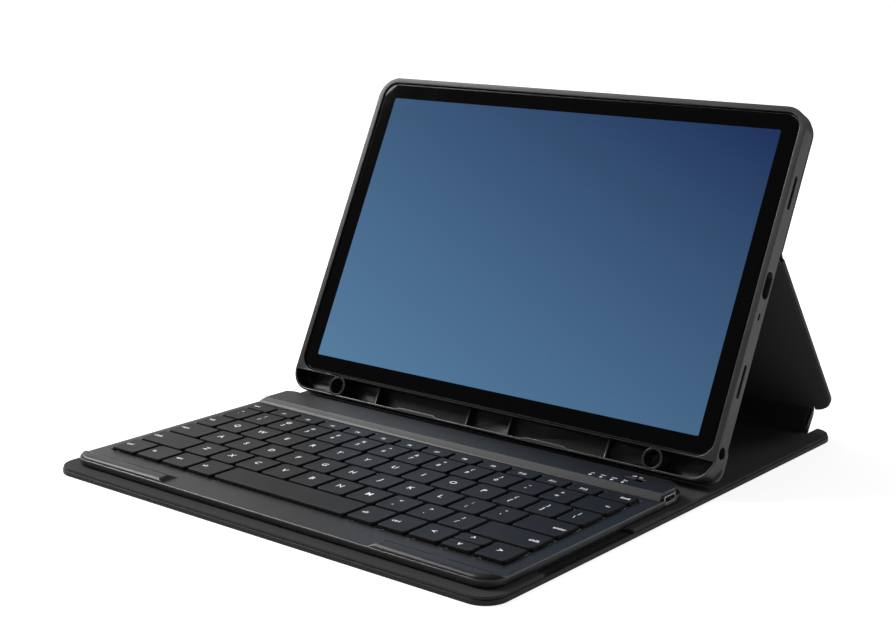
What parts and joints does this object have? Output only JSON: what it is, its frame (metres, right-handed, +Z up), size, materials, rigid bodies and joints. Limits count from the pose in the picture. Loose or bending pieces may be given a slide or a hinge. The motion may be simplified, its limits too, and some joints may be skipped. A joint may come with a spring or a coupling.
{
  "type": "tablet keyboard case",
  "caption": "Folding tablet case on a fold-out stand with a pen channel, a tablet in its shell and a low keyboard on the flat base panel.",
  "frame": {"origin": "middle of the footprint at the level of the desk it stands on", "axes": "+X to the user's right, +Y away from the user towards the stand's spine, +Z up"},
  "size_m": [0.2612, 0.287, 0.1708],
  "materials": {
    "folio_leather": "fine-grained black synthetic leather, matte",
    "folio_board": "grey-brown pressed stiffening board",
    "folio_lining": "short-napped charcoal microfibre lining",
    "magnet": "nickel-plated magnet",
    "case_tpu": "soft-touch black moulded case",
    "case_ring": "satin black moulded ring",
    "tablet_body": "anodised graphite aluminium",
    "tablet_glass": "polished cover glass over a lit display",
    "battery": "wrapped battery cell",
    "circuit": "green circuit board",
    "camera": "black camera lens cover",
    "kb_housing": "fine-textured charcoal moulding",
    "kb_cap": "smooth matte charcoal key cap with white legends",
    "kb_rubber": "soft black rubber",
    "kb_steel": "pressed steel",
    "kb_sheet": "translucent dome sheet",
    "kb_light": "clear light pipe"
  },
  "bodies": {
    "base": {"base_skin": "folio_leather", "base_board": "folio_board", "base_lining": "folio_lining", "base_magnets": "magnet"},
    "spine": {"spine_skin": "folio_leather", "spine_stay": "folio_board", "spine_lining": "folio_lining"},
    "leg": {"leg_skin": "folio_leather", "leg_board": "folio_board", "leg_lining": "folio_lining", "leg_magnets": "magnet"},
    "case": {"case_shell": "case_tpu", "channel_rings": "case_ring", "channel_magnets": "magnet", "back_board": "folio_board", "back_skin": "folio_leather"},
    "power_button": {"power_button": "case_tpu"},
    "volume_button": {"volume_button": "case_tpu"},
    "tablet": {"tablet_housing": "tablet_body", "tablet_glass": "tablet_glass", "tablet_battery": "battery", "tablet_board": "circuit", "tablet_camera": "camera"},
    "keyboard": {"kb_bottom": "kb_housing", "kb_feet": "kb_rubber", "kb_magnets": "magnet", "kb_plate": "kb_steel", "kb_domes": "kb_sheet", "kb_board": "circuit", "kb_cells": "battery", "kb_port": "kb_steel", "kb_lights": "kb_light", "kb_top": "kb_housing", "kb_screws": "kb_steel"},
    "kb_switch": {"kb_switch": "kb_cap"},
    "key_esc": {"key_esc": "kb_cap"},
    "keys_function": {"keys_function": "kb_cap"},
    "key_lock": {"key_lock": "kb_cap"},
    "keys_number": {"keys_number": "kb_cap"},
    "key_backspace": {"key_backspace": "kb_cap"},
    "key_tab": {"key_tab": "kb_cap"},
    "keys_upper": {"keys_upper": "kb_cap"},
    "key_caps": {"key_caps": "kb_cap"},
    "keys_home": {"keys_home": "kb_cap"},
    "key_enter": {"key_enter": "kb_cap"},
    "key_shift_left": {"key_shift_left": "kb_cap"},
    "keys_lower": {"keys_lower": "kb_cap"},
    "key_shift_right": {"key_shift_right": "kb_cap"},
    "keys_modifier": {"keys_modifier": "kb_cap"},
    "key_space": {"key_space": "kb_cap"},
    "keys_option": {"keys_option": "kb_cap"},
    "key_arrow_left": {"key_arrow_left": "kb_cap"},
    "key_arrow_up": {"key_arrow_up": "kb_cap"},
    "key_arrow_down": {"key_arrow_down": "kb_cap"},
    "key_arrow_right": {"key_arrow_right": "kb_cap"}
  },
  "joints": [
    {"name": "base_fold", "type": "hinge", "parent": "base", "child": "spine", "pos_m": [0, 0.1325, 0.0043], "axis": [-1, 0, 0], "range_deg": [0, 32]},
    {"name": "stand_fold", "type": "hinge", "parent": "spine", "child": "leg", "pos_m": [0, 0.141, 0.0162], "axis": [-1, 0, 0], "range_deg": [-1.5, 15]},
    {"name": "crease_fold", "type": "hinge", "parent": "leg", "child": "case", "pos_m": [0, 0.07689, 0.10328], "axis": [-1, 0, 0], "range_deg": [-33, 3.4]},
    {"name": "tablet_lift_out", "type": "slide", "parent": "case", "child": "tablet", "axis": [0, -0.8988, 0.4384], "range_m": [0, 0.06]},
    {"name": "power_press", "type": "slide", "parent": "case", "child": "power_button", "axis": [0, -0.4384, -0.8988], "range_m": [0, 0.0005], "stiffness_N_per_m": 800},
    {"name": "volume_press", "type": "slide", "parent": "case", "child": "volume_button", "axis": [0, -0.4384, -0.8988], "range_m": [0, 0.0005], "stiffness_N_per_m": 800},
    {"name": "keyboard_lift_off", "type": "slide", "parent": "base", "child": "keyboard", "axis": [0, 0, 1], "range_m": [0, 0.08]},
    {"name": "switch_slide", "type": "slide", "parent": "keyboard", "child": "kb_switch", "axis": [1, 0, 0], "range_m": [0, 0.003]},
    {"name": "esc_press", "type": "slide", "parent": "keyboard", "child": "key_esc", "axis": [0, 0, -1], "range_m": [0, 0.0012], "stiffness_N_per_m": 300},
    {"name": "function_press", "type": "slide", "parent": "keyboard", "child": "keys_function", "axis": [0, 0, -1], "range_m": [0, 0.0012], "stiffness_N_per_m": 3600},
    {"name": "lock_press", "type": "slide", "parent": "keyboard", "child": "key_lock", "axis": [0, 0, -1], "range_m": [0, 0.0012], "stiffness_N_per_m": 300},
    {"name": "number_press", "type": "slide", "parent": "keyboard", "child": "keys_number", "axis": [0, 0, -1], "range_m": [0, 0.0012], "stiffness_N_per_m": 3900},
    {"name": "backspace_press", "type": "slide", "parent": "keyboard", "child": "key_backspace", "axis": [0, 0, -1], "range_m": [0, 0.0012], "stiffness_N_per_m": 300},
    {"name": "tab_press", "type": "slide", "parent": "keyboard", "child": "key_tab", "axis": [0, 0, -1], "range_m": [0, 0.0012], "stiffness_N_per_m": 300},
    {"name": "upper_press", "type": "slide", "parent": "keyboard", "child": "keys_upper", "axis": [0, 0, -1], "range_m": [0, 0.0012], "stiffness_N_per_m": 3900},
    {"name": "caps_press", "type": "slide", "parent": "keyboard", "child": "key_caps", "axis": [0, 0, -1], "range_m": [0, 0.0012], "stiffness_N_per_m": 300},
    {"name": "home_press", "type": "slide", "parent": "keyboard", "child": "keys_home", "axis": [0, 0, -1], "range_m": [0, 0.0012], "stiffness_N_per_m": 3300},
    {"name": "enter_press", "type": "slide", "parent": "keyboard", "child": "key_enter", "axis": [0, 0, -1], "range_m": [0, 0.0012], "stiffness_N_per_m": 300},
    {"name": "shift_left_press", "type": "slide", "parent": "keyboard", "child": "key_shift_left", "axis": [0, 0, -1], "range_m": [0, 0.0012], "stiffness_N_per_m": 300},
    {"name": "lower_press", "type": "slide", "parent": "keyboard", "child": "keys_lower", "axis": [0, 0, -1], "range_m": [0, 0.0012], "stiffness_N_per_m": 3000},
    {"name": "shift_right_press", "type": "slide", "parent": "keyboard", "child": "key_shift_right", "axis": [0, 0, -1], "range_m": [0, 0.0012], "stiffness_N_per_m": 300},
    {"name": "modifier_press", "type": "slide", "parent": "keyboard", "child": "keys_modifier", "axis": [0, 0, -1], "range_m": [0, 0.0012], "stiffness_N_per_m": 1200},
    {"name": "space_press", "type": "slide", "parent": "keyboard", "child": "key_space", "axis": [0, 0, -1], "range_m": [0, 0.0012], "stiffness_N_per_m": 300},
    {"name": "option_press", "type": "slide", "parent": "keyboard", "child": "keys_option", "axis": [0, 0, -1], "range_m": [0, 0.0012], "stiffness_N_per_m": 600},
    {"name": "arrow_left_press", "type": "slide", "parent": "keyboard", "child": "key_arrow_left", "axis": [0, 0, -1], "range_m": [0, 0.0012], "stiffness_N_per_m": 300},
    {"name": "arrow_up_press", "type": "slide", "parent": "keyboard", "child": "key_arrow_up", "axis": [0, 0, -1], "range_m": [0, 0.0012], "stiffness_N_per_m": 300},
    {"name": "arrow_down_press", "type": "slide", "parent": "keyboard", "child": "key_arrow_down", "axis": [0, 0, -1], "range_m": [0, 0.0012], "stiffness_N_per_m": 300},
    {"name": "arrow_right_press", "type": "slide", "parent": "keyboard", "child": "key_arrow_right", "axis": [0, 0, -1], "range_m": [0, 0.0012], "stiffness_N_per_m": 300}
  ],
  "couplings": [
    {"joint": "crease_fold", "follows": "stand_fold", "ratio": -2.2}
  ]
}
